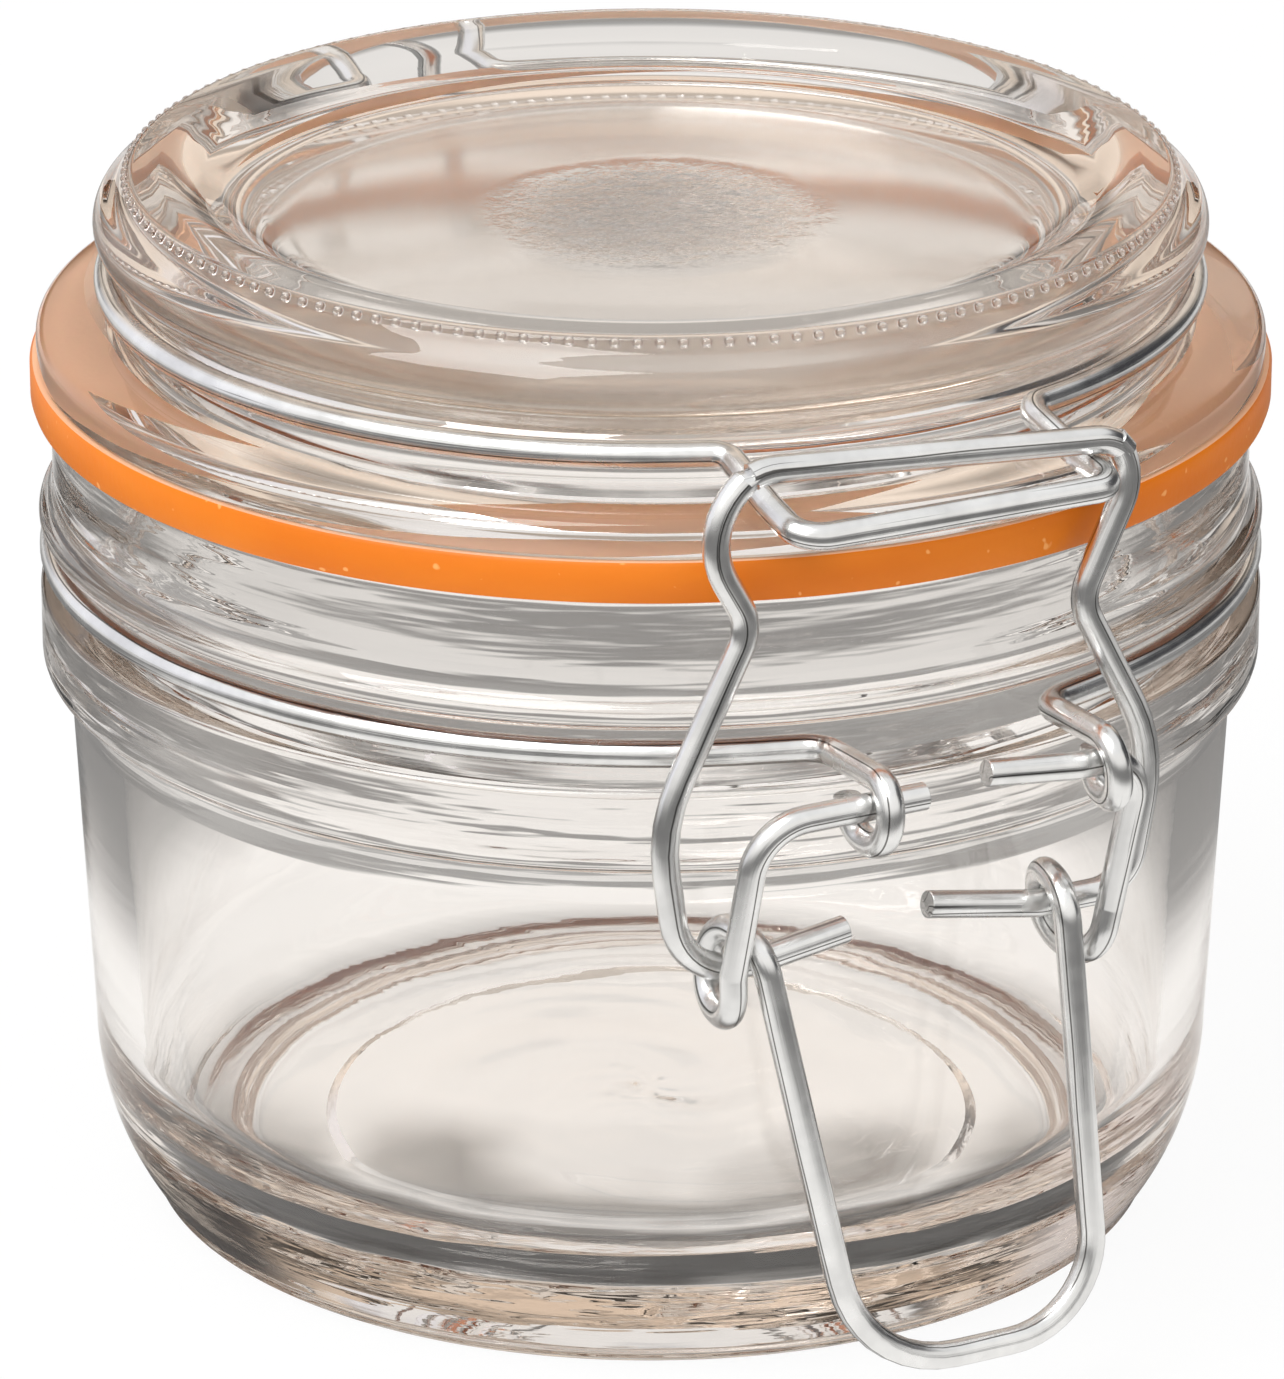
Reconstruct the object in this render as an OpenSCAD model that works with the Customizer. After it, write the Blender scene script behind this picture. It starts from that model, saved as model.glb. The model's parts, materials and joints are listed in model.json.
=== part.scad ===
// Lidded glass canister with a wire bail clasp. Millimetres, Z up.
// The origin is the centre of the foot. The clasp faces -Y and the hinge is at +Y.

/* [Jar] */
// Inside radius of the mouth
mouth_radius = 40.0; // [34:0.1:60]
// Width of the neck, from the mouth to the face of its band
neck_width = 6.6; // [5.6:0.1:9]
// Height of the rim that carries the gasket
rim_height = 63.4; // [52:0.1:120]
// Step from the neck band in to the body's side
body_step = 2.1; // [1:0.1:5]
// Thickness of the body's wall
wall = 3.2; // [2:0.1:6]
// Thickness of the floor inside the foot
floor_height = 5.2; // [3.6:0.1:9]
// Height of the rounded corner above the foot
corner_height = 13.0; // [8:0.1:20]
// How far the rounded corner curves in to the heel
corner_inset = 3.8; // [1.5:0.1:6]
// How much the body narrows from the neck down to the rounded corner
taper = 1.3; // [0:0.1:3]

/* [Lid] */
// How far the lid's flange reaches past the mouth
flange_width = 6.5; // [4:0.1:9]
// How far the bulge over the wire groove reaches past the mouth
bulge_width = 2.0; // [1:0.1:4]
// Height of the lid above the gasket
lid_height = 14.4; // [13.8:0.1:24]

/* [Gasket] */
// Width of the rubber ring
gasket_width = 6.7; // [4:0.1:9]
// Thickness of the rubber ring
gasket_thickness = 3.2; // [2:0.1:5]

/* [Wire] */
// Diameter of every wire
wire = 2.05; // [1.6:0.05:2.5]
// Width of the lever between its arms
lever_width = 31.1; // [25:0.1:40]
// How far the lever and the bail sit to the left of the jar's middle
lever_shift = 2.85; // [0:0.05:4]
// Height of the pull handle's low end above the foot
handle_rise = 6.2; // [3:0.1:20]
// Drop from the lever's pivot to the bail's pivot
pivot_drop = 12.6; // [11:0.1:16]
// Width of the hinge loop at the rear
hinge_width = 25.0; // [20:0.1:40]

/* [Clearances] */
// Gap between a pivot wire and the eye bent round it
eye_gap = 0.45; // [0.35:0.05:0.6]
// Gap between the hoops and the glass of their grooves
hoop_gap = 0.075; // [0.05:0.005:0.3]
// Gap between the bail's bar and the catch that it holds down
catch_gap = 0.6; // [0.5:0.05:1.5]
// Gap between the lid's plug and the mouth
plug_gap = 0.6; // [0.3:0.05:1.5]

/* [Hidden] */
$fn = 36;

// radii
band_radius = mouth_radius + neck_width;
body_radius = band_radius - body_step;
flange_radius = mouth_radius + flange_width;
bulge_radius = mouth_radius + bulge_width;
gasket_inner = mouth_radius + 0.3;
gasket_radius = gasket_inner + gasket_width;
widest = max(gasket_radius, flange_radius);
body_ring_r = band_radius - 1.0;
lid_ring_r = bulge_radius - 1.0;

// heights of the seats, from the foot up
gasket_base = rim_height + 0.04;
lid_base = gasket_base + gasket_thickness;
lid_top = lid_base + lid_height;
body_ring_z = rim_height - 11.8;
lid_ring_z = lid_base + 6.0;
catch_z = lid_ring_z - 2.8;

// pivot lines, all parallel to X, as [y, z]
hinge = [widest + 4.5, rim_height - 5.9];
lever_pivot = [-(widest + 6.0), body_ring_z + eye_gap - wire];
bail_pivot = [lever_pivot[0] + 5.0, lever_pivot[1] - pivot_drop];

// places along X: the lever's arms, the body wire's eyes and the hinge loop's legs
left_arm = -lever_width / 2 - lever_shift;
right_arm = lever_width / 2 - lever_shift;
eye_x = right_arm - 3.6;
leg_x = hinge_width / 2;

// centre-line radius of the pivot eyes
eye = wire + eye_gap;
// how far each straight length runs into the bends at its ends
overlap = 0.12;

glass = [0.86, 0.88, 0.86, 0.45];
rubber = [0.93, 0.45, 0.08];
steel = [0.78, 0.79, 0.80];

function unit(v) = v / norm(v);
function arc(c, r, from, to, n) =
    [for (i = [0:n]) let (a = from + (to - from) * i / n) c + r * [cos(a), sin(a)]];
// the point at x on the line that touches a ring of radius r where the ring is at x0
function touch(r, x0, x, side) =
    let (y0 = sqrt(r * r - x0 * x0)) side * (y0 - x0 / y0 * (x - x0));

// straight round bar from a to b, a hair thinner than the bends it runs into
module bar(a, b) {
    v = b - a;
    translate(a - unit(v) * overlap)
        rotate([0, acos(v[2] / norm(v)), atan2(v[1], v[0])])
            cylinder(h = norm(v) + 2 * overlap, d = wire - 0.02);
}

// bend of radius r at corner b, between the directions d1 and d2
module bend(b, d1, d2, r) {
    turn = acos(d1 * d2);
    ex = -unit(d2 - d1 * (d1 * d2));
    ez = cross(ex, d1);
    c = b - d1 * r * tan(turn / 2) - ex * r;
    multmatrix([[ex[0], d1[0], ez[0], c[0]], [ex[1], d1[1], ez[1], c[1]],
                [ex[2], d1[2], ez[2], c[2]], [0, 0, 0, 1]])
        rotate_extrude(angle = turn) translate([r, 0]) circle(d = wire);
}

// bent wire through the corners p, with the bend radius r[i] at p[i]
module bent_wire(p, r) {
    last = len(p) - 1;
    d = [for (i = [0:last - 1]) unit(p[i + 1] - p[i])];
    cut = [for (i = [0:last])
        i == 0 || i == last ? 0 : r[i] * tan(acos(d[i - 1] * d[i]) / 2)];
    for (i = [0:last - 1])
        bar(p[i] + d[i] * cut[i], p[i + 1] - d[i] * cut[i + 1]);
    for (i = [1:last - 1])
        bend(p[i], d[i - 1], d[i], r[i]);
}

// part of a level wire ring, between two angles from +X
module ring_arc(r, z, from, to) {
    translate([0, 0, z]) rotate([0, 0, from])
        rotate_extrude(angle = to - from, $fn = 96) translate([r, 0]) circle(d = wire);
}

// eye round the line c = [y, z]: the wire comes in over the top at x, goes down the
// far side s of the line, under it, and ends level with it on the near side
function eye_path(c, r, x, step, s) = [
    [x, c[0] + s * r, c[1] + r],
    [x + step, c[0] + s * r, c[1] - r],
    [x + 2 * step, c[0] - s * r, c[1] - r],
    [x + 2.5 * step, c[0] - s * r, c[1] + 0.1 * r],
];

module jar_body() {
    b = band_radius;
    z0 = body_ring_z;
    groove = body_ring_r - wire / 2 - hoop_gap;
    groove_half = wire / 2 + 0.5;
    side = body_radius - taper;
    inner = body_radius - wall;
    inner_low = side - wall;
    heel = side - corner_inset;
    heel_z = 1.0;
    rise = corner_height - heel_z;
    corner_r = (rise * rise + corner_inset * corner_inset) / (2 * corner_inset);
    corner = arc([side - corner_r, corner_height], corner_r, -asin(rise / corner_r), 0, 12);
    band_low = arc([b - 1.5, z0 - 7.9], 1.5, -90, 0, 5);
    band_high = arc([b - 0.6, z0 - 3.2], 0.6, 0, 90, 3);
    collar = arc([b - 1.1, z0 + 2.9], 1.1, -60, 60, 6);
    rim_out = arc([b - 1.9, rim_height - 0.8], 0.8, 0, 90, 4);
    rim_in = arc([mouth_radius + 0.6, rim_height - 0.6], 0.6, 90, 180, 4);
    corner_in = arc([inner_low - 9.7, floor_height + 9.5], 9.5, 0, -90, 10);
    color(glass) rotate_extrude($fn = 96) polygon(concat(
        [[heel - 5.8, 0], [heel - 0.8, 0], [heel - 0.35, 0.15]], corner,
        [[body_radius, z0 - 11.1], [body_radius + 0.3, z0 - 9.9]], band_low, band_high,
        [[groove, z0 - groove_half], [groove, z0 + groove_half]], collar,
        [[b - 1.1, z0 + 4.9]], rim_out, rim_in,
        [[mouth_radius, rim_height - 6.4], [inner - 0.2, rim_height - 10.4],
         [inner, rim_height - 19]], corner_in,
        [[inner_low - 16, floor_height + 0.1], [0, floor_height + 0.4],
         [0, 2.6], [heel - 14.8, 2.1], [heel - 14, 1.4], [heel - 7.8, 1.2]]));
}

module lid() {
    f = flange_radius;
    m = mouth_radius;
    z0 = lid_base;
    plug = m - plug_gap;
    groove = lid_ring_r - wire / 2 - hoop_gap;
    groove_low = lid_ring_z - wire / 2 - 0.15;
    groove_high = lid_ring_z + wire / 2 + 0.1;
    flange_edge = arc([f - 1.2, z0 + 1.8], 1.2, 0, 75, 6);
    bulge = arc([bulge_radius - 2.6, lid_top - 3.9], 2.6, -55, 55, 10);
    rim = arc([bulge_radius - 3.1, lid_top - 0.8], 0.8, 10, 90, 5);
    color(glass) rotate_extrude($fn = 96) polygon(concat(
        [[f - 0.3, z0], [f, z0 + 0.3]], flange_edge,
        [[groove + 1.3, z0 + 3.8], [groove + 0.3, groove_low - 0.5], [groove, groove_low],
         [groove, groove_high], [groove + 0.5, groove_high + 0.6]], bulge, rim,
        [[bulge_radius - 6, lid_top], [bulge_radius - 7.6, lid_top - 0.5],
         [m - 8.4, lid_top - 2.3], [m - 9.8, lid_top - 2.8], [m - 16, lid_top - 3.2],
         [m - 28, lid_top - 3.8], [0, lid_top - 4.0], [0, lid_top - 7.6],
         [m - 12, lid_top - 7.2], [m - 7, lid_top - 7.8], [m - 5, lid_top - 9.4],
         [m - 3.2, z0 + 0.6], [m - 2.6, z0 - 3.6], [m - 2.2, z0 - 4.2],
         [plug - 0.6, z0 - 4.2], [plug - 0.2, z0 - 3.7], [plug, z0]]));
}

module gasket() {
    r = gasket_radius;
    color(rubber) rotate_extrude($fn = 96) polygon([
        [gasket_inner, gasket_base], [r - 0.5, gasket_base],
        [r, gasket_base + 0.6], [r, lid_base - 0.1], [r - 0.1, lid_base],
        [gasket_inner, lid_base]]);
}

// the wire leaves the lid's ring for a sloping catch at the front, and ends
// in two hinge eyes round the rear bar
module lid_wire() {
    r = lid_ring_r;
    z = lid_ring_z;
    left = left_arm + 1.9;
    right = right_arm + 0.1;
    rear = leg_x - 2.5;
    inner_leg = leg_x - 6.3;
    near_y = bail_pivot[0] + 2.5;
    far_y = bail_pivot[0] - 2.5;
    low = lid_base + 3.2 + wire / 2;
    color(steel) {
        ring_arc(r, z, 90 + asin(rear / r), 270 + asin(left / r));
        ring_arc(r, z, -90 + asin(right / r), 90 - asin(rear / r));
        bent_wire([
            [left, touch(r, left, left, -1), z],
            [left + 2.8, touch(r, left, left + 2.8, -1), z],
            [left + 2.7, near_y, low], [left + 2.6, far_y, catch_z + 0.2],
            [right - 1.3, far_y, catch_z], [right - 1.9, near_y, low],
            [right - 2.7, touch(r, right, right - 2.7, -1), z],
            [right, touch(r, right, right, -1), z]],
            [0, 1.8, 4, 2.2, 1.6, 4, 1.8, 0]);
        for (s = [-1, 1]) bent_wire(concat([
            [s * rear, touch(r, rear, rear, 1), z],
            [s * inner_leg, touch(r, rear, inner_leg, 1), z],
            [s * inner_leg, hinge[0] + eye, z]],
            [for (i = [1:3]) eye_path(hinge, eye, s * inner_leg, s * 0.5, 1)[i]]),
            [0, 1.8, eye - 0.1, eye - 0.3, eye - 0.3, 0]);
    }
}

// the wire follows the neck groove, with an eye at each front end and a
// raised loop at the rear whose bar is the hinge pin
module body_wire() {
    r = body_ring_r;
    z = body_ring_z;
    front = eye_x + 4.9;
    rear = leg_x + 4.0;
    sag = [0, -0.2];
    color(steel) {
        for (s = [-1, 1]) {
            rotate([0, 0, s < 0 ? 180 : 0]) ring_arc(r, z,
                s < 0 ? -90 + asin(rear / r) : -90 + asin(front / r),
                s < 0 ? 90 - asin(front / r) : 90 - asin(rear / r));
            bent_wire(concat([
                [s * front, touch(r, front, front, -1), z],
                [s * eye_x, touch(r, front, eye_x, -1), z]],
                eye_path(lever_pivot + sag, eye, s * eye_x, s * 0.4, -1)),
                [0, eye - 0.1, eye - 0.2, eye - 0.2, eye - 0.2, 0]);
        }
        bent_wire([
            [-rear, touch(r, rear, rear, 1), z], [-leg_x, touch(r, rear, leg_x, 1), z],
            [-leg_x, hinge[0], z], [-leg_x, hinge[0], hinge[1]],
            [leg_x, hinge[0], hinge[1]], [leg_x, hinge[0], z],
            [leg_x, touch(r, rear, leg_x, 1), z], [rear, touch(r, rear, rear, 1), z]],
            [0, 2.2, 2.2, 2.2, 2.2, 2.2, 2.2, 0]);
    }
}

// one wire: pivot end, arm, one-turn eye round the bail's end, handle, and the same
// back again
module lever() {
    p = lever_pivot;
    loop = wire + 0.95;
    pitch = wire + 0.15;
    front = bail_pivot[0] - 0.3 - loop;
    back = bail_pivot[0] - 0.3 + loop;
    left = left_arm - 1.2;
    left_z = bail_pivot[1] - 0.2;
    right = right_arm - 1.5;
    right_z = bail_pivot[1] - 0.8;
    left_end = 3.9 - eye_x;
    right_end = left_end + 5.0;
    out = p[0] - 1.8;
    bend_r = loop - 0.2;
    color(steel) bent_wire([
        [left_end, p[0], p[1]], [left_arm, p[0], p[1]], [left, front, left_z + 1],
        [left + 0.1, front, left_z - loop], [left + pitch / 3, back, left_z - loop],
        [left + pitch * 2 / 3, back, left_z + loop], [left + pitch, front, left_z + loop],
        [left_arm + 6.1, out + 0.3, handle_rise + 4.2],
        [left_arm + 13.0, out, handle_rise + 0.8], [right_arm - 4.3, out, handle_rise],
        [right - pitch - 1.5, front, right_z + loop],
        [right - pitch - 0.6, back, right_z + loop],
        [right - pitch + 0.3, back, right_z - loop], [right - 0.9, front, right_z - loop],
        [right, front, right_z + 1], [right_arm, p[0], p[1]],
        [eye_x - 2.0, p[0], p[1]], [right_end, p[0], p[1] + 0.8]],
        [0, 4.0, 2.0, bend_r, bend_r, bend_r, bend_r, 6, 8, 5,
         bend_r, bend_r, bend_r, bend_r, 2.0, 3.2, 6, 0]);
}

// one wire in an upright plane: inward ends, waisted legs and a sloping top bar
module bail() {
    y = bail_pivot[0];
    z = bail_pivot[1];
    top = catch_z + wire + catch_gap;
    left = left_arm;
    right = right_arm;
    left_end = left + 9.6;
    color(steel) bent_wire([
        [left_end, y, z + 1.1], [left + 2.2, y, z], [left - 3.7, y, z],
        [left - 5.4, y, z + 11.8], [left + 1.8, y, rim_height - 0.1],
        [left - 3.0, y, top - 0.6], [left + 2.4, y, top + 2.3], [right - 0.1, y, top],
        [right + 1.9, y, top - 2.4], [right - 2.6, y, rim_height - 2.8],
        [right + 3.8, y, z + 10.8], [right + 1.8, y, z], [right - 5.7, y, z],
        [left_end + 6.7, y, z + 1.7]],
        [0, 4, 5.0, 12, 3.5, 5.5, 4.5, 3.5, 4.5, 3.5, 12, 3.4, 4, 0]);
}

jar_body();
lid();
gasket();
lid_wire();
body_wire();
lever();
bail();
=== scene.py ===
"""Looks of the lidded glass canister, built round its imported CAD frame.

Sizes are in millimetres in the frame's own axes (Z up, clasp at -Y) and turned into
metres when a mesh is made. What the frame can say is read from it.
"""

import json
from math import acos, asin, ceil, cos, degrees, pi, radians, sin, sqrt, tan

import bpy
import numpy as np
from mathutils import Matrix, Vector


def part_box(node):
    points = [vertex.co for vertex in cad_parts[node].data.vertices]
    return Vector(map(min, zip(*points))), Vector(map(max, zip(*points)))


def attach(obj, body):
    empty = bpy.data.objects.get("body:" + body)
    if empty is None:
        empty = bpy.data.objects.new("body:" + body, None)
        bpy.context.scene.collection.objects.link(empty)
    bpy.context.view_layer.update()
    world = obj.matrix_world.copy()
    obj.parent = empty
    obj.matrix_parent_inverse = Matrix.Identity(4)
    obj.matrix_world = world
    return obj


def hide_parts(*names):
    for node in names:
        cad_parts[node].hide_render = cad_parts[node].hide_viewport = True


MM = 0.001
ON_AXIS = 1e-6                         # a radius below this is a point on the axis

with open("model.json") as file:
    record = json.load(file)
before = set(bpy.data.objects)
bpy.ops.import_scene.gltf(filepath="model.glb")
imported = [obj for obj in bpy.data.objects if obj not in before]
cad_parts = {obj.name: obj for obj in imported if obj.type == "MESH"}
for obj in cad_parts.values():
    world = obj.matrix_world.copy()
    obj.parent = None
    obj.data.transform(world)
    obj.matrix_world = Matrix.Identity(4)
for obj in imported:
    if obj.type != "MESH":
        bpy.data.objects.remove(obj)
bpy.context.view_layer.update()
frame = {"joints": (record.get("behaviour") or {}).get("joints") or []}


# ---------------------------------------------------------------- sizes from the frame

def box_mm(node):
    """Lowest and highest corner of a CAD node."""
    low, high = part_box(node)
    return np.array(low) / MM, np.array(high) / MM


def pivot_mm(joint):
    """(y, z) of the line that a joint turns about."""
    found = next(j for j in frame["joints"] if j["name"] == joint)
    return np.array(found["pos_m"][1:]) / MM


_, jar_high = box_mm("jar_body")
_, lid_high = box_mm("lid")
gasket_low, gasket_high = box_mm("gasket")
bail_low, bail_high = box_mm("bail")

RIM = jar_high[2]                      # top of the jar
BAND = jar_high[0]                     # radius of the neck band
FLANGE = lid_high[0]                   # radius of the lid's flange
LID_TOP = lid_high[2]
GASKET = gasket_high[0]
LID_BASE = gasket_high[2]
WIRE = bail_high[1] - bail_low[1]      # wire diameter

# the driving sizes that the frame does not hold, as in the CAD
BODY_STEP = 2.1
TAPER = 1.3
CORNER_INSET = 3.8
CORNER_Z = 13.0                        # height of the rounded corner's top
NECK_WIDTH = 6.6
BULGE_WIDTH = 2.0
WALL = 3.2
FLOOR = 5.2

BODY = BAND - BODY_STEP                # radius of the body just below the band
SIDE = BODY - TAPER                    # and just above its rounded corner
HEEL = SIDE - CORNER_INSET             # radius where the rounded corner meets the foot
MOUTH = BAND - NECK_WIDTH              # inside radius of the mouth
BULGE = MOUTH + BULGE_WIDTH            # radius of the lid's bulge over its wire

BODY_RING = (BAND - 1.0, RIM - 11.8)   # radius and height of the wire in the neck
LID_RING = (BULGE - 1.0, LID_BASE + 6.0)
HOOP_SEAT = WIRE / 2 + 0.075           # from a hoop's centre line to the glass behind it
EYE = WIRE + 0.45                      # radius of an eye bent into a wire
HINGE = pivot_mm("lid_hinge")          # (y, z) of each line that turns
LEVER_PIVOT = pivot_mm("lever_pivot")
BAIL_PIVOT = pivot_mm("bail_pivot")


# ---------------------------------------------------------------- mesh helpers

def arc(cx, cz, r, start, end, n):
    """Round stretch of a profile between two angles in degrees, in n steps."""
    return [(cx + r * cos(radians(a)), cz + r * sin(radians(a)))
            for a in np.linspace(start, end, n + 1)]


def subdivide(points, longest):
    """Adds points to the long stretches of a profile."""
    out = [points[0]]
    for a, b in zip(points, points[1:]):
        n = max(1, ceil(sqrt((b[0] - a[0]) ** 2 + (b[1] - a[1]) ** 2) / longest))
        out += [tuple(np.array(a) + (np.array(b) - np.array(a)) * i / n)
                for i in range(1, n + 1)]
    return out


def add_object(name, vertices, faces, body, material, sharp=35):
    """Piece that rides on a body. Edges over `sharp` degrees are not smoothed."""
    mesh = bpy.data.meshes.new(name)
    mesh.from_pydata([tuple(v) for v in np.asarray(vertices) * MM], [], faces)
    mesh.validate()
    mesh.materials.append(material)
    piece = bpy.data.objects.new(name, mesh)
    bpy.context.scene.collection.objects.link(piece)
    mesh.polygons.foreach_set("use_smooth", [True] * len(mesh.polygons))
    mesh.set_sharp_from_angle(angle=radians(sharp))
    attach(piece, body)
    return piece


def distances(path):
    """Distance along the path to each of its points."""
    steps = np.linalg.norm(np.diff(path, axis=0), axis=1)
    return np.concatenate([[0], np.cumsum(steps)])


def wobble(angle, along, waves):
    """Sum of sine waves round (angle) and along a surface: (height, rounds, pitch, phase)."""
    total = np.zeros(np.broadcast(angle, along).shape)
    for height, rounds, pitch, phase in waves:
        total += height * np.sin(rounds * angle + 2 * pi * along / pitch + phase)
    return total


def revolve(profile, segments, waves=lambda r, z: ()):
    """Closed solid of revolution from a profile that runs from axis to axis.
    waves gives the ripple of the glass at each profile point."""
    p = np.array(profile)
    d = np.gradient(p, axis=0)
    normal = np.stack([d[:, 1], -d[:, 0]], 1)
    normal /= np.linalg.norm(normal, axis=1)[:, None] + 1e-9
    length = distances(p)
    angle = np.linspace(0, 2 * pi, segments, endpoint=False)
    vertices, rows = [], []
    for i, (r, z) in enumerate(p):
        rows.append(len(vertices))
        if r < ON_AXIS:
            vertices.append((0, 0, z))
            continue
        h = wobble(angle, length[i], waves(r, z))
        rr, zz = r + normal[i, 0] * h, z + normal[i, 1] * h
        vertices += list(zip(rr * np.cos(angle), rr * np.sin(angle), zz))
    faces = []
    for i in range(len(p) - 1):
        a, b = rows[i], rows[i + 1]
        for k in range(segments):
            n = (k + 1) % segments
            if p[i][0] < ON_AXIS:
                faces.append((a, b + n, b + k))
            elif p[i + 1][0] < ON_AXIS:
                faces.append((a + k, a + n, b))
            else:
                faces.append((a + k, a + n, b + n, b + k))
    return vertices, faces


# ---------------------------------------------------------------- wire helpers

UV_PER_MM = 0.01                       # a wire's U grows by this for each millimetre


def unit(v):
    return v / np.linalg.norm(v)


def rounded(corners, radii, step=9.0):
    """Centre line through the corners, with a bend of that radius at each."""
    p = [np.array(c, float) for c in corners]
    out = [p[0]]
    for a, b, c, r in zip(p, p[1:], p[2:], radii[1:]):
        d1, d2 = unit(b - a), unit(c - b)
        turn = acos(np.clip(d1 @ d2, -1, 1))
        start = b - d1 * r * tan(turn / 2)
        side = unit(d2 - d1 * (d1 @ d2))
        for t in np.linspace(0, turn, max(2, ceil(degrees(turn) / step)) + 1):
            out.append(start + side * r * (1 - cos(t)) + d1 * r * sin(t))
    out.append(p[-1])
    return out


def ring_points(ring, start, end, step=2.0):
    """Level arc between two angles from +X, in degrees."""
    r, z = ring
    n = max(2, ceil(abs(end - start) / step))
    return [np.array([r * cos(radians(a)), r * sin(radians(a)), z])
            for a in np.linspace(start, end, n + 1)]


def touch(r, at, x, side):
    """y at x on the line that touches a ring of radius r where the ring is at `at`."""
    y = sqrt(r * r - at * at)
    return side * (y - at / y * (x - at))


def eye_corners(pivot, r, x, step, side):
    """Corners of an eye of radius r round a pivot, which moves on by step as it turns."""
    y, z = pivot
    return [(x, y + side * r, z + r), (x + step, y + side * r, z - r),
            (x + 2 * step, y - side * r, z - r),
            (x + 2.5 * step, y - side * r, z + 0.1 * r)]


def clean_path(points, nearest=0.02):
    """The path without points that lie closer together than `nearest`."""
    out = [np.array(points[0], float)]
    for p in points[1:]:
        if np.linalg.norm(p - out[-1]) > nearest:
            out.append(np.array(p, float))
    return out


def wire_rings(path, edge):
    """(point of the path, step from it along the wire, radius) of each ring of a wire's
    skin. The cut ends have a small broken edge."""
    last = len(path) - 1
    full, small = WIRE / 2, WIRE / 2 - edge
    return [(0, 0, small), (0, edge, full), *((i, 0, full) for i in range(1, last)),
            (last, -edge, full), (last, 0, small)]


def wire_object(name, points, body, material, around=20, edge=0.05):
    """Round wire along the points, with squarely cut ends and UVs along and around it."""
    path = np.array(clean_path(points))
    tangent = np.gradient(path, axis=0)
    tangent /= np.linalg.norm(tangent, axis=1)[:, None]
    length = distances(path)
    turn = np.linspace(0, 2 * pi, around, endpoint=False)
    side = unit(np.cross(tangent[0], (0.3, 0.2, 1)))
    vertices, along = [], []
    for i, step, radius in wire_rings(path, edge):
        t = tangent[i]
        side = unit(side - t * (side @ t))
        other = np.cross(t, side)
        vertices += [path[i] + t * step + radius * (cos(a) * side + sin(a) * other)
                     for a in turn]
        along.append(length[i] + step)
    rows = len(along)
    faces = [(i * around + k, i * around + (k + 1) % around,
              (i + 1) * around + (k + 1) % around, (i + 1) * around + k)
             for i in range(rows - 1) for k in range(around)]
    faces.append(tuple(reversed(range(around))))
    faces.append(tuple((rows - 1) * around + k for k in range(around)))
    piece = add_object(name, vertices, faces, body, material)
    map_wire(piece.data, along, around)
    return piece


def map_wire(mesh, along, around):
    """UVs of a wire: its length times UV_PER_MM, and the share of a turn around it."""
    uv = mesh.uv_layers.new(name="along_wire")
    for poly in mesh.polygons:
        corners = [(j, mesh.loops[j].vertex_index) for j in poly.loop_indices]
        places = {v % around for _, v in corners}
        is_side = len(poly.vertices) == 4
        at_seam = is_side and {0, around - 1} <= places
        for j, v in corners:
            k = around if at_seam and v % around == 0 else v % around
            uv.data[j].uv = (along[v // around] * UV_PER_MM, k / around)


# ---------------------------------------------------------------- materials

class Nodes:
    """Short way to build the nodes of a material, or of the world."""

    def __init__(self, name, world=False):
        self.material = (bpy.data.worlds if world else bpy.data.materials).new(name)
        self.material.use_nodes = True
        self.tree = self.material.node_tree
        self.shader = self.tree.nodes["Background" if world else "Principled BSDF"]

    def add(self, kind, inputs=None, **settings):
        node = self.tree.nodes.new(kind)
        for key, value in settings.items():
            setattr(node, key, value)
        for key, value in (inputs or {}).items():
            self.set(node, key, value)
        return node

    def set(self, node, key, value):
        socket = node.inputs[key]
        if isinstance(value, bpy.types.NodeSocket):
            self.tree.links.new(value, socket)
        else:
            socket.default_value = value

    def ramp(self, fac, stops):
        """Colours (three numbers each) at places from 0 to 1."""
        node = self.add("ShaderNodeValToRGB", {"Fac": fac})
        elements = node.color_ramp.elements
        while len(elements) < len(stops):
            elements.new(0.5)
        for element, (place, colour) in zip(elements, stops):
            element.position = place
            element.color = (*colour, 1)
        return node.outputs["Color"]

    def noise(self, vector, scale, detail=2, roughness=0.5):
        node = self.add("ShaderNodeTexNoise", {"Vector": vector, "Scale": scale,
                                               "Detail": detail, "Roughness": roughness})
        return node.outputs["Fac"]

    def stretched(self, source, scale):
        node = self.add("ShaderNodeMapping", {"Vector": source, "Scale": scale})
        return node.outputs["Vector"]

    def math(self, operation, *values):
        node = self.add("ShaderNodeMath", dict(enumerate(values)), operation=operation)
        return node.outputs[0]

    def split(self, vector):
        return self.add("ShaderNodeSeparateXYZ", {0: vector}).outputs

    def level_length(self, parts):
        """Length of a split vector's level part: the distance from the jar's axis."""
        flat = self.add("ShaderNodeCombineXYZ", {"X": parts["X"], "Y": parts["Y"]}).outputs[0]
        node = self.add("ShaderNodeVectorMath", {0: flat}, operation="LENGTH")
        return node.outputs["Value"]

    def blend(self, factor, a, b, kind="MIX"):
        """Colour a where the factor is 0, b where it is 1."""
        node = self.add("ShaderNodeMix", {"Factor": factor, 6: a, 7: b},
                        data_type="RGBA", blend_type=kind)
        return node.outputs[2]

    def between(self, value, start, end):
        """0 where the value is at start or before it, 1 at end, smooth between."""
        node = self.add("ShaderNodeMapRange", {"Value": value, "From Min": start,
                                               "From Max": end},
                        interpolation_type="SMOOTHSTEP")
        return node.outputs["Result"]

    def bump(self, height, strength, distance, under=None):
        node = self.add("ShaderNodeBump", {"Height": height, "Strength": strength,
                                           "Distance": distance})
        if under is not None:
            self.set(node, "Normal", under)
        return node.outputs["Normal"]

    def to_output(self, socket, name):
        output = next(x for x in self.tree.nodes if x.type == "OUTPUT_MATERIAL")
        self.tree.links.new(socket, output.inputs[name])


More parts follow.
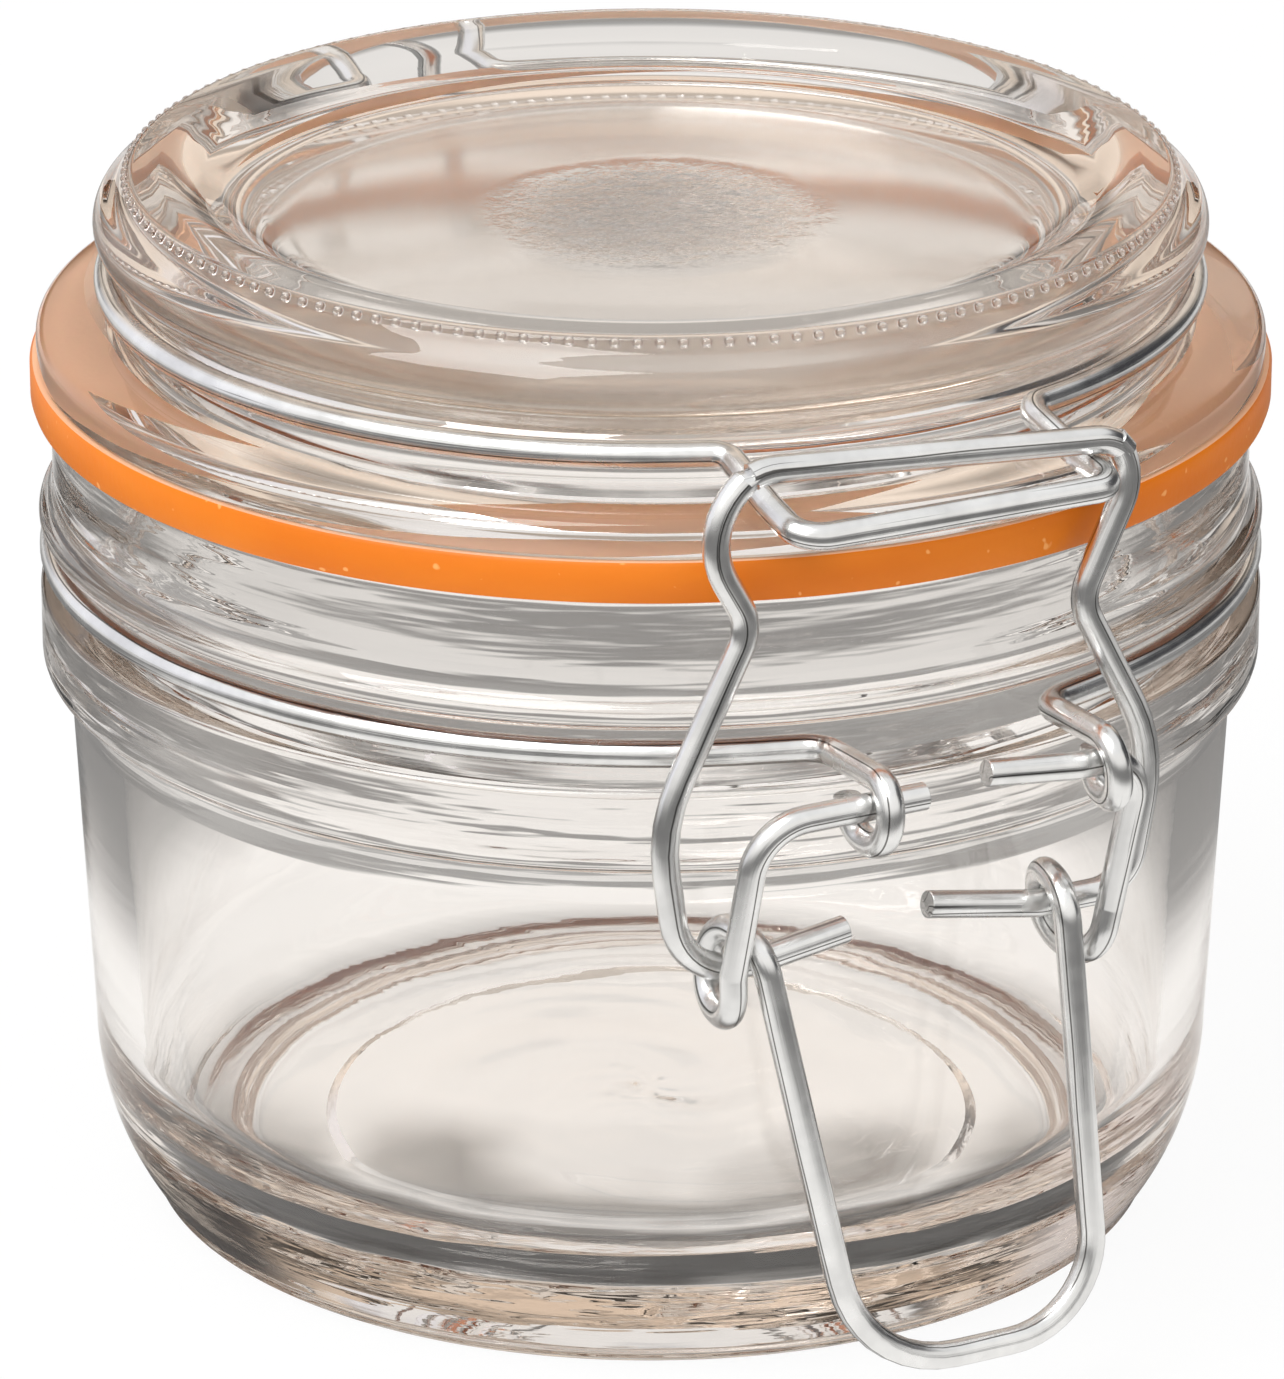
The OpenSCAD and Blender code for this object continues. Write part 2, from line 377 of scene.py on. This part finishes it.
GLASS_TINT = (0.995, 0.985, 0.975, 1)
BLACK, WHITE = (0, 0, 0), (1, 1, 1)


def glass_material(name, axis, ripples, dish=False):
    """Pressed glass, faintly warm where it is thick. ripples gives how strongly level
    streaks from the mould show at heights (axis Z) or radii (axis R), in metres. The lid's
    dish is dull from its fine texture, and dimpled at its centre by the plunger."""
    n = Nodes(name)
    place = n.add("ShaderNodeTexCoord").outputs["Object"]
    parts = n.split(place)
    along = parts["Z"] if axis == "Z" else n.level_length(parts)
    spread = 10.0                      # a ramp runs from 0 to 1, the glass to 0.1 m
    quiet = n.ramp(n.math("MULTIPLY", along, spread),
                   [(at * spread, (strength,) * 3) for at, strength in ripples])
    streaks = n.noise(n.stretched(place, (30, 30, 380)), 1.0, 3, 0.5)
    peel = n.noise(n.stretched(place, (420, 420, 420)), 1.0, 2, 0.5)
    normal = n.bump(n.math("MULTIPLY", streaks, quiet), strength=0.8, distance=0.0006)
    normal = n.bump(n.math("MULTIPLY", peel, quiet), strength=0.12, distance=0.00005,
                    under=normal)
    if dish:
        dimples = n.noise(n.stretched(place, (500, 500, 500)), 1.0, 3, 0.6)
        ragged = n.math("ADD", along, n.math("MULTIPLY", streaks, 0.006))
        centre = n.between(ragged, start=0.0170, end=0.0060)
        normal = n.bump(n.math("MULTIPLY", dimples, centre), strength=0.9, distance=0.0011,
                        under=normal)
        inside_dish = n.between(along, start=0.0305, end=0.0275)
        n.set(n.shader, "Roughness", n.math("MULTIPLY", inside_dish, 0.09))
        n.set(n.shader, "Base Color",
              n.blend(centre, GLASS_TINT, (0.80, 0.80, 0.81, 1)))
    else:
        n.set(n.shader, "Roughness", 0.0)
        n.set(n.shader, "Base Color", GLASS_TINT)
    n.set(n.shader, "Normal", normal)
    n.set(n.shader, "IOR", 1.5)
    n.set(n.shader, "Transmission Weight", 1.0)
    inside = n.add("ShaderNodeVolumeAbsorption",
                   {"Color": (0.82, 0.74, 0.66, 1), "Density": 19})
    n.to_output(inside.outputs[0], "Volume")
    return n.material


def rubber_material():
    """Orange rubber, a little mottled, with pale specks, and painted light that makes what faces
    up a paler salmon.
    """
    n = Nodes("orange_rubber_band")
    place = n.add("ShaderNodeTexCoord").outputs["Object"]
    mottled = n.noise(n.stretched(place, (60, 60, 160)), 1.0, 3)
    colour = n.ramp(mottled, [(0.3, (0.68, 0.160, 0.004)), (0.7, (0.75, 0.200, 0.008))])
    specks = n.noise(place, 900, 1)
    dots = n.ramp(specks, [(0.72, BLACK), (0.76, WHITE)])
    speckled = n.blend(n.math("MULTIPLY", dots, 0.5), colour, (1.0, 0.55, 0.2, 1))
    upward = n.split(n.add("ShaderNodeNewGeometry").outputs["Normal"])["Z"]
    # painted light: the faces that look up are painted a paler salmon, for light on the top under
    # the glass lid
    painted_top_light = n.math("MULTIPLY", n.between(upward, start=0.6, end=0.95), 0.75)
    n.set(n.shader, "Base Color", n.blend(painted_top_light, speckled, (1.0, 0.62, 0.40, 1)))
    n.set(n.shader, "Roughness", 0.42)
    n.set(n.shader, "Specular IOR Level", 0.3)
    n.set(n.shader, "Subsurface Weight", 0.08)
    n.set(n.shader, "Subsurface Radius", (0.003, 0.001, 0.0003))
    grain = n.noise(place, 1500, 2)
    n.set(n.shader, "Normal", n.bump(grain, strength=0.25, distance=0.0001))
    return n.material


def wire_material():
    """Bright plated steel wire, with fine ridges from the drawing die along it, and near-black
    lines along it in its colour.
    """
    n = Nodes("drawn_plated_wire")
    uv = n.add("ShaderNodeUVMap", uv_map="along_wire").outputs["UV"]
    place = n.add("ShaderNodeTexCoord").outputs["Object"]
    lines = n.noise(n.stretched(uv, (3.0, 16.0, 1.0)), 1.0, 3, 0.6)
    fine = n.noise(n.stretched(uv, (14.0, 60.0, 1.0)), 1.0, 2, 0.6)
    cloud = n.noise(place, 240, 3, 0.6)
    wander = n.math("MULTIPLY", n.noise(n.stretched(uv, (4.0, 0.0, 1.0)), 1.0, 2), 0.12)
    across = n.math("ADD", n.split(uv)["Y"], wander)
    # near-black lines along the wire in its colour: three round it, and more where the lines noise
    # is low
    dark_lines_round = 3.0
    clear = n.ramp(n.math("FRACT", n.math("MULTIPLY", across, dark_lines_round)),
                   [(0.46, WHITE), (0.485, BLACK), (0.515, BLACK), (0.54, WHITE)])
    clear = n.math("MULTIPLY", clear, n.ramp(lines, [(0.30, BLACK), (0.37, WHITE)]))
    tone = n.ramp(cloud, [(0.3, (0.72, 0.72, 0.715)), (0.7, (0.92, 0.92, 0.91))])
    n.set(n.shader, "Base Color", n.blend(clear, (0.16, 0.155, 0.15, 1), tone))
    n.set(n.shader, "Metallic", 1.0)
    rough = n.add("ShaderNodeMapRange", {"Value": cloud, "To Min": 0.16, "To Max": 0.34})
    n.set(n.shader, "Roughness", rough.outputs["Result"])
    normal = n.bump(lines, strength=0.35, distance=0.0001)
    normal = n.bump(fine, strength=0.2, distance=0.00003, under=normal)
    n.set(n.shader, "Normal", normal)
    return n.material


# ---------------------------------------------------------------- glass

def jar_profile():
    """From the axis under the jar, up the outside and down the inside to the axis."""
    inner, inner_low = BODY - WALL, SIDE - WALL
    z = BODY_RING[1]
    groove, half = BODY_RING[0] - HOOP_SEAT, WIRE / 2 + 0.5
    rise, inset = CORNER_Z - 1.0, SIDE - HEEL
    corner_r = (rise ** 2 + inset ** 2) / (2 * inset)
    corner = arc(SIDE - corner_r, CORNER_Z, corner_r, -degrees(asin(rise / corner_r)), 0, 24)
    band_low = arc(BAND - 1.5, z - 7.9, 1.5, -90, 0, 8)
    band_high = arc(BAND - 0.6, z - 3.2, 0.6, 0, 90, 6)
    collar = arc(BAND - 1.1, z + 2.9, 1.1, -60, 60, 10)
    rim_out = arc(BAND - 1.9, RIM - 0.8, 0.8, 0, 90, 8)
    rim_in = arc(MOUTH + 0.6, RIM - 0.6, 0.6, 90, 180, 6)
    corner_in = arc(inner_low - 9.7, FLOOR + 9.5, 9.5, 0, -90, 24)
    hollow = [(0, 2.6), (HEEL - 14.8, 2.1), (HEEL - 14, 1.4), (HEEL - 7.8, 1.2)]
    foot = [(HEEL - 5.8, 0), (HEEL - 0.8, 0), (HEEL - 0.35, 0.15)]
    shoulder = [(BODY, z - 11.1), (BODY + 0.3, z - 9.9)]
    throat = [(MOUTH, RIM - 6.4), (inner - 0.2, RIM - 10.4), (inner, RIM - 19)]
    bottom = [(inner_low - 16, FLOOR + 0.1), (0, FLOOR + 0.4)]
    return [*hollow, *foot, *corner, *shoulder, *band_low, *band_high,
            (groove, z - half), (groove, z + half), *collar, (BAND - 1.1, z + 4.9),
            *rim_out, *rim_in, *throat, *corner_in, *bottom]


def jar_waves(r, z):
    """The inside is wavier than the moulded outside, most of all at the neck and base."""
    inside = r < BODY - WALL + 0.3 and z > FLOOR - 0.5
    if not inside:
        return ((0.006, 3, 17, 0.4), (0.003, 7, 9, 2.0))
    if z > RIM - 20:
        return ((0.06, 1, 6.5, 0.3), (0.035, 2, 4.1, 1.9), (0.01, 5, 2.7, 0.2))
    if r < 30:
        return ((0.06, 2, 15, 0.3), (0.05, 3, 9, 1.1), (0.02, 5, 6, 2.2))
    return ((0.02, 2, 41, 0.9), (0.012, 5, 23, 2.6))


def make_jar(material):
    profile = subdivide(jar_profile(), 1.2)
    vertices, faces = revolve(profile, 288, jar_waves)
    piece = add_object("jar_glass", vertices, faces, "jar", material)
    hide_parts("jar_body")


def lid_profile():
    """From the axis under the dish, round the plug and the flange, over the top."""
    f, m, z = FLANGE, MOUTH, LID_BASE
    plug = m - 0.6
    groove = LID_RING[0] - HOOP_SEAT
    low, high = LID_RING[1] - WIRE / 2 - 0.15, LID_RING[1] + WIRE / 2 + 0.1
    edge = arc(f - 1.2, z + 1.8, 1.2, 0, 75, 8)
    bulge = arc(BULGE - 2.6, LID_TOP - 3.9, 2.6, -55, 55, 16)
    rim = arc(BULGE - 3.1, LID_TOP - 0.8, 0.8, 10, 90, 8)
    under = [(0, LID_TOP - 7.6), (m - 12, LID_TOP - 7.2), (m - 7, LID_TOP - 7.8),
             (m - 5, LID_TOP - 9.4), (m - 3.2, z + 0.6), (m - 2.6, z - 3.6)]
    plug_end = [(m - 2.2, z - 4.2), (plug - 0.6, z - 4.2), (plug - 0.2, z - 3.7)]
    seat = [(plug, z), (f - 0.3, z), (f, z + 0.3)]
    wire_groove = [(groove + 1.3, z + 3.8), (groove + 0.3, low - 0.5), (groove, low),
                   (groove, high), (groove + 0.5, high + 0.6)]
    dish = [(BULGE - 6, LID_TOP), (BULGE - 7.6, LID_TOP - 0.5), (m - 8.4, LID_TOP - 2.3),
            (m - 9.8, LID_TOP - 2.8), (m - 16, LID_TOP - 3.2), (m - 28, LID_TOP - 3.8),
            (0, LID_TOP - 4.0)]
    return [*under, *plug_end, *seat, *edge, *wire_groove, *bulge, *rim, *dish]


def lid_waves(r, z):
    """The underside is almost true, and the dish has longer waves than the rim."""
    if z < LID_BASE + 1.0:
        return ((0.006, 5, 11, 0.2),)
    if r < MOUTH - 8:
        return ((0.008, 2, 23, 0.5), (0.004, 3, 15, 1.4))
    return ((0.008, 2, 12, 0.5), (0.004, 3, 7.2, 1.4))


def make_lid(material):
    profile = subdivide(lid_profile(), 1.0)
    vertices, faces = revolve(profile, 288, lid_waves)
    piece = add_object("lid_glass", vertices, faces, "lid", material)
    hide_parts("lid")


def make_beads(material, count=152, radius=39.46, height=-0.55):
    """Ring of small moulded beads round the lid's top edge."""
    vertices, faces = [], []
    across, rings = 8, 5
    half, half_along = 0.42, 0.50      # of a bead, which is a little longer round the lid
    for i in range(count):
        a = 2 * pi * i / count
        out = np.array([cos(a), sin(a), 0])
        along = np.array([-sin(a), cos(a), 0])
        centre = out * radius + np.array([0, 0, LID_TOP + height])
        base = len(vertices)
        for j in range(rings + 1):
            t = pi * j / rings
            for k in range(across):
                u = 2 * pi * k / across
                vertices.append(centre + out * half * sin(t) * cos(u)
                                + along * half_along * sin(t) * sin(u)
                                + np.array([0, 0, half * cos(t)]))
        for j in range(rings):
            for k in range(across):
                n = (k + 1) % across
                faces.append((base + j * across + k, base + (j + 1) * across + k,
                              base + (j + 1) * across + n, base + j * across + n))
    add_object("lid_beads", vertices, faces, "lid", material, sharp=80)


# ---------------------------------------------------------------- gasket

def make_gasket(material):
    """Flat rubber ring with softened edges."""
    low, high = gasket_low[2], gasket_high[2]
    inner, outer = MOUTH + 0.3, GASKET
    profile = [(inner, low), (outer - 0.6, low), (outer - 0.15, low + 0.15), (outer, low + 0.6),
               (outer, high - 0.25), (outer - 0.2, high), (inner + 0.1, high), (inner, high - 0.1)]
    segments = 256
    angle = np.linspace(0, 2 * pi, segments, endpoint=False)
    vertices = [(r * cos(a), r * sin(a), z) for r, z in profile for a in angle]
    rows = len(profile)
    faces = [(i * segments + k, i * segments + (k + 1) % segments,
              (i + 1) % rows * segments + (k + 1) % segments, (i + 1) % rows * segments + k)
             for i in range(rows) for k in range(segments)]
    piece = add_object("rubber_gasket", vertices, faces, "lid", material,
                       sharp=50)
    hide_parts("gasket")


# ---------------------------------------------------------------- wires

LEFT_ARM, RIGHT_ARM = -18.4, 12.7      # the lever's arms along X
EYE_X = RIGHT_ARM - 3.6                # the neck wire's eyes
LEG_X = 12.5                           # the hinge loop's legs
CATCH_Z = LID_RING[1] - 2.8


def make_lid_wire(material):
    """Hoop round the lid, with the catch bent into its front and two hinge eyes behind."""
    ring, z = LID_RING
    left, right = LEFT_ARM + 1.9, RIGHT_ARM + 0.1
    rear, inner_leg = LEG_X - 2.5, LEG_X - 6.3
    near_y, far_y = BAIL_PIVOT[0] + 2.5, BAIL_PIVOT[0] - 2.5
    low = LID_BASE + 3.2 + WIRE / 2

    def hinge_end(s):
        corners = [(s * rear, touch(ring, rear, rear, 1), z),
                   (s * inner_leg, touch(ring, rear, inner_leg, 1), z),
                   (s * inner_leg, HINGE[0] + EYE, z),
                   *eye_corners(HINGE, EYE, s * inner_leg, s * 0.5, 1)[1:]]
        return rounded(corners, [0, 1.8, EYE - 0.1, EYE - 0.3, EYE - 0.3, 0])

    catch = rounded([
        (left, touch(ring, left, left, -1), z),
        (left + 2.8, touch(ring, left, left + 2.8, -1), z),
        (left + 2.7, near_y, low), (left + 2.6, far_y, CATCH_Z + 0.2),
        (right - 1.3, far_y, CATCH_Z), (right - 1.9, near_y, low),
        (right - 2.7, touch(ring, right, right - 2.7, -1), z),
        (right, touch(ring, right, right, -1), z)],
        [0, 1.8, 4, 2.2, 1.6, 4, 1.8, 0])
    rear_angle = degrees(asin(rear / ring))
    points = [*reversed(hinge_end(-1)),
              *ring_points(LID_RING, 90 + rear_angle, 270 + degrees(asin(left / ring))),
              *catch,
              *ring_points(LID_RING, -90 + degrees(asin(right / ring)), 90 - rear_angle),
              *hinge_end(1)]
    piece = wire_object("lid_hoop_wire", points, "lid", material)
    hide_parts("lid_wire")


def make_body_wire(material):
    """Hoop round the neck, with the lever's two eyes in front and the hinge loop behind."""
    ring, z = BODY_RING
    front, rear = EYE_X + 4.9, LEG_X + 4.0
    eye_centre = LEVER_PIVOT + np.array([0, -0.2])

    def eye_end(s):
        corners = [(s * front, touch(ring, front, front, -1), z),
                   (s * EYE_X, touch(ring, front, EYE_X, -1), z),
                   *eye_corners(eye_centre, EYE, s * EYE_X, s * 0.4, -1)]
        return rounded(corners, [0, EYE - 0.1, EYE - 0.2, EYE - 0.2, EYE - 0.2, 0])

    y, top = HINGE
    loop = rounded([
        (-rear, touch(ring, rear, rear, 1), z), (-LEG_X, touch(ring, rear, LEG_X, 1), z),
        (-LEG_X, y, z), (-LEG_X, y, top), (LEG_X, y, top), (LEG_X, y, z),
        (LEG_X, touch(ring, rear, LEG_X, 1), z), (rear, touch(ring, rear, rear, 1), z)],
        [0, 2.2, 2.2, 2.2, 2.2, 2.2, 2.2, 0])
    front_angle, rear_angle = degrees(asin(front / ring)), degrees(asin(rear / ring))
    points = [*reversed(eye_end(-1)),
              *ring_points(BODY_RING, 270 - front_angle, 90 + rear_angle),
              *loop,
              *ring_points(BODY_RING, 90 - rear_angle, -90 + front_angle),
              *eye_end(1)]
    piece = wire_object("neck_hoop_wire", points, "jar", material)
    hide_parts("body_wire")


def make_lever(material):
    """Handle that turns in the neck wire's eyes and holds the bail in two closed loops."""
    y, z = LEVER_PIVOT
    loop, pitch = WIRE + 0.95, WIRE + 0.15
    front, back = BAIL_PIVOT[0] - 0.3 - loop, BAIL_PIVOT[0] - 0.3 + loop
    left, left_z = LEFT_ARM - 1.2, BAIL_PIVOT[1] - 0.2
    right, right_z = RIGHT_ARM - 1.5, BAIL_PIVOT[1] - 0.8
    left_end = 3.9 - EYE_X
    low, out, bend = 6.2, y - 1.8, loop - 0.2
    points = rounded([
        (left_end, y, z), (LEFT_ARM, y, z), (left, front, left_z + 1),
        (left + 0.1, front, left_z - loop), (left + pitch / 3, back, left_z - loop),
        (left + pitch * 2 / 3, back, left_z + loop), (left + pitch, front, left_z + loop),
        (LEFT_ARM + 7.6, out, low + 0.1), (RIGHT_ARM - 3.7, out, low),
        (right - pitch - 1.5, front, right_z + loop),
        (right - pitch - 0.6, back, right_z + loop),
        (right - pitch + 0.3, back, right_z - loop), (right - 0.9, front, right_z - loop),
        (right, front, right_z + 1), (RIGHT_ARM, y, z), (EYE_X - 2.0, y, z),
        (left_end + 5.0, y, z + 0.8)],
        [0, 4.0, 2.0, bend, bend, bend, bend, 9.5, 7, bend, bend, bend, bend, 2.0, 3.2, 6, 0])
    piece = wire_object("lever_wire", points, "lever", material)
    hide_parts("lever")


def make_bail(material):
    """Wire from the lever's loops up over the catch."""
    y, z = BAIL_PIVOT
    top = CATCH_Z + WIRE + 0.6
    left, right = LEFT_ARM, RIGHT_ARM
    points = rounded([
        (left + 9.6, y, z + 1.1), (left + 2.2, y, z), (left - 3.7, y, z),
        (left - 5.4, y, z + 11.8), (left + 1.8, y, RIM - 0.1), (left - 3.0, y, top - 0.6),
        (left + 2.4, y, top + 2.3), (right - 0.1, y, top), (right + 1.9, y, top - 2.4),
        (right - 2.6, y, RIM - 2.8), (right + 3.8, y, z + 10.8), (right + 1.8, y, z),
        (right - 5.7, y, z), (left + 16.3, y, z + 1.7)],
        [0, 4, 5.0, 12, 3.5, 5.5, 4.5, 3.5, 4.5, 3.5, 12, 3.4, 4, 0])
    piece = wire_object("bail_wire", points, "bail", material)
    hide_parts("bail")


# ---------------------------------------------------------------- stage, lights, camera

CAMERA_TURN = radians(27)      # the camera stands this far to the left of the clasp
CAMERA_RISE = radians(21.78)
CAMERA_DISTANCE = 650.0
AIM_HEIGHT = 38.33
AIM_LEFT = 0.66                # the jar stands this far right of the picture's middle
LENS_TO_WIDTH = 8435 / 1284
SENSOR = 36


def make_camera():
    right = Vector((cos(CAMERA_TURN), -sin(CAMERA_TURN), 0))
    ahead = Vector((sin(CAMERA_TURN), cos(CAMERA_TURN), 0))
    aim = -right * AIM_LEFT + Vector((0, 0, AIM_HEIGHT))
    place = aim - ahead * CAMERA_DISTANCE * cos(CAMERA_RISE) \
        + Vector((0, 0, CAMERA_DISTANCE * sin(CAMERA_RISE)))
    data = bpy.data.cameras.new("camera")
    data.sensor_fit = "HORIZONTAL"
    data.sensor_width = SENSOR
    data.lens = SENSOR * LENS_TO_WIDTH
    data.clip_start, data.clip_end = 0.01, 20
    camera = bpy.data.objects.new("camera", data)
    camera.location = place * MM
    camera.rotation_euler = (aim - place).to_track_quat("-Z", "Y").to_euler()
    bpy.context.scene.collection.objects.link(camera)
    bpy.context.scene.camera = camera


def greys(*stops):
    """Stops of a ramp in faintly warm greys."""
    return [(place, (value, value * 0.985, value * 0.965)) for place, value in stops]


def from_camera(n, vector):
    """The vector's length along the floor, its height, how far it points away from where
    the photo's camera stands (1 straight behind the jar, 0 to the sides, -1 towards that
    camera), and how far to the right. The direction is fixed in the room."""
    turned = n.add("ShaderNodeVectorRotate", {"Vector": vector, "Angle": CAMERA_TURN},
                   rotation_type="Z_AXIS").outputs[0]
    parts = n.split(turned)
    length = n.level_length(parts)
    divisor = n.math("MAXIMUM", length, 1e-4)
    return (length, parts["Z"], n.math("DIVIDE", parts["Y"], divisor),
            n.math("DIVIDE", parts["X"], divisor))


def make_floor():
    """Sheet that the camera sees white, with a soft shadow. It is not a plain floor: rays
    through the glass and off the metal see painted shade on it, grey rings set apart in
    front of, behind and beside the jar as the photo's camera stands, darkest round the
    jar's foot as a painted contact shadow. Their levels were chosen to bring the glass
    near the photo's tones."""
    just_below = -0.00005              # so that the foot and the sheet never share a plane
    bpy.ops.mesh.primitive_plane_add(size=6, location=(0, 0, just_below))
    floor = bpy.context.object
    floor.name = "floor"
    n = Nodes("pale_floor")
    n.set(n.shader, "Base Color", (0.92, 0.92, 0.92, 1))
    n.set(n.shader, "Roughness", 0.9)
    place = n.add("ShaderNodeTexCoord").outputs["Object"]
    out, _, away, _ = from_camera(n, place)
    uneven = n.math("ADD", out, n.math("MULTIPLY", n.noise(place, 70), 0.012))
    # painted shade: grey rings, darkest round the jar's foot as a painted contact shadow
    front = n.ramp(uneven, greys((0.0, 0.85), (0.017, 0.85), (0.022, 0.22), (0.027, 0.30),
                                 (0.031, 0.80), (0.033, 0.70), (0.036, 0.05), (0.053, 0.05),
                                 (0.058, 1.0), (0.13, 1.0), (0.17, 0.12), (0.9, 0.12)))
    back = n.ramp(out, greys((0.0, 0.92), (0.034, 0.95), (0.0375, 0.40), (0.041, 0.97),
                             (0.070, 0.97), (0.082, 0.28), (0.118, 0.25), (0.132, 0.75),
                             (0.2, 0.80), (0.24, 0.35), (0.34, 0.35), (0.45, 1.0)))
    beside = n.ramp(out, greys((0.0, 0.92), (0.034, 0.95), (0.0375, 0.40), (0.041, 0.97),
                               (0.071, 0.97), (0.084, 0.30), (0.12, 0.18), (0.2, 0.14),
                               (0.3, 0.35), (0.45, 0.8)))
    rear = n.blend(n.between(away, 0.78, 0.93), beside, back)
    grey = n.blend(n.between(away, -0.3, 0.3), front, rear)
    path = n.add("ShaderNodeLightPath").outputs
    through = n.math("MAXIMUM", path["Is Transmission Ray"], path["Is Glossy Ray"])
    plain = n.add("ShaderNodeEmission", {"Color": (1, 1, 1, 1), "Strength": 1.0})
    shaded = n.add("ShaderNodeEmission", {"Color": grey, "Strength": 1.0})
    seen = n.add("ShaderNodeMixShader", {0: path["Is Camera Ray"], 1: shaded.outputs[0],
                                         2: plain.outputs[0]})
    own_light = 0.93                   # the rest is lit, and so keeps the jar's shadow
    share = n.math("MULTIPLY", n.math("MAXIMUM", path["Is Camera Ray"], through), own_light)
    mix = n.add("ShaderNodeMixShader", {0: share, 1: n.shader.outputs[0],
                                        2: seen.outputs[0]})
    n.to_output(mix.outputs[0], "Surface")
    floor.data.materials.append(n.material)


def make_world():
    """Studio round the jar, laid out as the photo's camera stands: a lit wall behind the
    jar between two dark flags, a bright side towards the camera, and a bright ceiling. To
    reflections the left flag is a white card. The camera sees plain white instead of all
    this. The levels were chosen to bring the glass near the photo's tones."""
    n = Nodes("studio", world=True)
    bpy.context.scene.world = n.material
    direction = n.add("ShaderNodeTexCoord").outputs["Generated"]
    _, height, away, right = from_camera(n, direction)
    wall = n.ramp(height, greys((0.0, 0.04), (0.12, 0.08), (0.20, 0.80), (0.44, 1.0),
                                (0.52, 0.45), (0.6, 0.45)))
    near = n.ramp(height, greys((0.0, 0.3), (0.25, 1.0), (1.0, 1.0)))
    path = n.add("ShaderNodeLightPath").outputs
    card = n.math("MULTIPLY", path["Is Glossy Ray"], n.between(right, -0.25, -0.45))
    flags = n.blend(card, (0.05, 0.05, 0.055, 1), (0.95, 0.95, 1.0, 1))
    warm = n.blend(1.0, wall, (1.0, 0.88, 0.77, 1), kind="MULTIPLY")
    sides = n.blend(n.between(away, 0.75, 0.9), flags, warm)
    round_about = n.blend(n.between(away, 0.0, -0.3), sides, near)
    studio = n.blend(n.between(height, 0.6, 0.68), round_about, (0.95, 0.95, 0.95, 1))
    n.set(n.shader, "Color", n.blend(path["Is Camera Ray"], studio, (1, 1, 1, 1)))


def make_light(name, place, size, power, aim=(0, 0, 0.04)):
    """Rectangular lamp. Places and sizes are in metres, the power in watts."""
    data = bpy.data.lights.new(name, "AREA")
    data.shape = "RECTANGLE"
    data.size, data.size_y = size
    data.energy = power
    light = bpy.data.objects.new(name, data)
    light.location = place
    light.rotation_euler = (Vector(aim) - Vector(place)).to_track_quat("-Z", "Y").to_euler()
    bpy.context.scene.collection.objects.link(light)


def make_studio():
    """Floor, surroundings, one lamp, and enough bounces for glass behind glass."""
    make_floor()
    make_world()
    make_light("key_softbox", place=(-0.6, -0.2, 1.0), size=(0.7, 0.7), power=9)
    scene = bpy.context.scene
    scene.view_settings.view_transform = "Standard"
    scene.cycles.transmission_bounces = 28
    scene.cycles.glossy_bounces = 24
    scene.cycles.max_bounces = 32
    scene.cycles.caustics_refractive = True


# ---------------------------------------------------------------- the whole object

def main():
    jar_glass = glass_material(
        "jar_clear_glass", "Z", ((0.010, 0.35), (0.013, 0.015), (0.0395, 0.015),
                                 (0.042, 0.55), (0.047, 0.55), (0.049, 0.32)))
    lid_glass = glass_material(
        "lid_clear_glass", "R", ((0.0, 0.15), (0.010, 0.02), (0.037, 0.02), (0.040, 0.16)),
        dish=True)
    wire = wire_material()
    make_jar(jar_glass)
    make_lid(lid_glass)
    make_beads(lid_glass)
    make_gasket(rubber_material())
    make_lid_wire(wire)
    make_body_wire(wire)
    make_lever(wire)
    make_bail(wire)
    make_studio()
    make_camera()


main()
